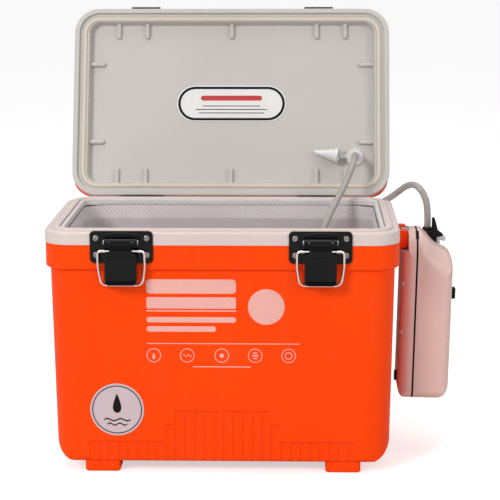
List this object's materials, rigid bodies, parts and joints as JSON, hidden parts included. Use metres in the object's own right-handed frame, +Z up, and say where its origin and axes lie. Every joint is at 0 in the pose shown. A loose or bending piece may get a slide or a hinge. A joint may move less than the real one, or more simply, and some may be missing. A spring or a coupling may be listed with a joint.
{
  "type": "aerated bait box",
  "caption": "Insulated box for live bait, with a hinged lid, wire-bail latches, a net liner and a clip-on battery air pump whose hose passes through the lid to an air stone.",
  "frame": {"origin": "on the floor, under the middle of the box, the open lid and the pump taken together", "axes": "+X to the pump's side, -Y to the latches' side, +Z up; at rest the lid stands open at its stop"},
  "size_m": [0.3749, 0.3039, 0.407],
  "materials": {
    "orange_plastic": "moulded, satin gloss",
    "orange_plastic_lid": "moulded, satin gloss",
    "white_plastic": "moulded, satin",
    "white_plastic_lid": "moulded, satin",
    "foam": "foamed in place",
    "net_cloth": "fine knotless net",
    "hem_tape": "woven tape",
    "steel_wire": "drawn wire",
    "hinge_black": "moulded black",
    "pin_steel": "ground",
    "screw_steel": "pan head",
    "latch_black": "gloss black",
    "rivet_steel": "domed",
    "bail_steel": "bright wire",
    "gasket_cream": "soft seal",
    "printed_label": "printed film",
    "printed_sticker": "printed film",
    "port_rubber": "soft moulded",
    "stone_grit": "sintered grit",
    "hose_clear": "cloudy flexible tube",
    "pump_white": "moulded, satin",
    "pump_seal_rubber": "flat seal",
    "clip_steel": "sprung strip, white",
    "pad_rubber": "soft pad",
    "valve_black": "moulded black",
    "nozzle_clear": "clear moulded",
    "knob_black": "moulded",
    "motor_steel": "drawn can",
    "crank_plastic": "moulded",
    "bellows_rubber": "folded",
    "head_plastic": "moulded",
    "cell_jacket": "plain jacket",
    "contact_brass": "sprung"
  },
  "bodies": {
    "tub": {"outer_shell": "orange_plastic", "liner": "white_plastic", "foam_core": "foam", "net_liner": "net_cloth", "net_hoop": "steel_wire", "net_hem": "hem_tape", "tub_hinge_leaves": "hinge_black", "hinge_pins": "pin_steel", "tub_hinge_screws": "screw_steel", "latch_plates": "latch_black", "latch_rivets": "rivet_steel", "lever_pins": "pin_steel", "pump_bracket": "orange_plastic", "bracket_screws": "screw_steel", "size_sticker": "printed_sticker", "air_stone": "stone_grit", "hose_inner": "hose_clear", "hose_outer": "hose_clear"},
    "lid": {"lid_panel": "white_plastic_lid", "lid_shell": "orange_plastic_lid", "lid_foam": "foam", "lid_gasket": "gasket_cream", "lid_label": "printed_label", "lid_hinge_leaves": "hinge_black", "lid_hinge_screws": "screw_steel", "strikes": "latch_black", "strike_rivets": "rivet_steel", "port_grommet": "port_rubber", "stopper_plug": "port_rubber"},
    "lever_left": {"latch_lever_left": "latch_black"},
    "lever_right": {"latch_lever_right": "latch_black"},
    "bail_left": {"latch_bail_left": "bail_steel"},
    "bail_right": {"latch_bail_right": "bail_steel"},
    "pump": {"pump_back": "pump_white", "pump_seal": "pump_seal_rubber", "pump_cover": "pump_white", "case_screws": "screw_steel", "pump_clip": "clip_steel", "clip_screws": "screw_steel", "wall_pad": "pad_rubber", "valve_body": "valve_black", "hose_collar": "valve_black", "air_nozzles": "nozzle_clear", "motor": "motor_steel", "con_rod": "crank_plastic", "bellows": "bellows_rubber", "air_head": "head_plastic", "cells": "cell_jacket", "cell_contacts": "contact_brass"},
    "valve": {"valve_lever": "valve_black"},
    "switch": {"switch_knob": "knob_black"},
    "crank": {"crank_wheel": "crank_plastic"}
  },
  "joints": [
    {"name": "lid_hinge", "type": "hinge", "parent": "tub", "child": "lid", "pos_m": [-0.02844, 0.0591, 0.22], "axis": [-1, 0, 0], "range_deg": [-108.6, 0], "deforming": ["hose_outer", "hose_inner"]},
    {"name": "latch_lever_left_swing", "type": "hinge", "parent": "tub", "child": "lever_left", "pos_m": [-0.11644, -0.1445, 0.216], "axis": [-1, 0, 0], "range_deg": [0, 140]},
    {"name": "latch_lever_right_swing", "type": "hinge", "parent": "tub", "child": "lever_right", "pos_m": [0.05956, -0.1445, 0.216], "axis": [-1, 0, 0], "range_deg": [0, 140]},
    {"name": "latch_bail_left_swing", "type": "hinge", "parent": "lever_left", "child": "bail_left", "pos_m": [-0.11644, -0.1455, 0.2083], "axis": [1, 0, 0], "range_deg": [-199.3, 0]},
    {"name": "latch_bail_right_swing", "type": "hinge", "parent": "lever_right", "child": "bail_right", "pos_m": [0.05956, -0.1455, 0.2083], "axis": [1, 0, 0], "range_deg": [-199.3, 0]},
    {"name": "pump_swing", "type": "hinge", "parent": "tub", "child": "pump", "pos_m": [0.13576, -0.0429, 0.208], "axis": [0, -1, 0], "range_deg": [0, 15], "deforming": ["hose_outer"]},
    {"name": "pump_switch", "type": "slide", "parent": "pump", "child": "switch", "axis": [0.0227, 0, 0.9997], "range_m": [-0.003, 0.003]},
    {"name": "valve_turn", "type": "hinge", "parent": "pump", "child": "valve", "pos_m": [0.1677, -0.0389, 0.20409], "axis": [0, 1, 0], "range_deg": [0, 35]},
    {"name": "crank_spin", "type": "hinge", "parent": "pump", "child": "crank", "pos_m": [0.15899, -0.0264, 0.15077], "axis": [0, 1, 0], "continuous": true}
  ]
}
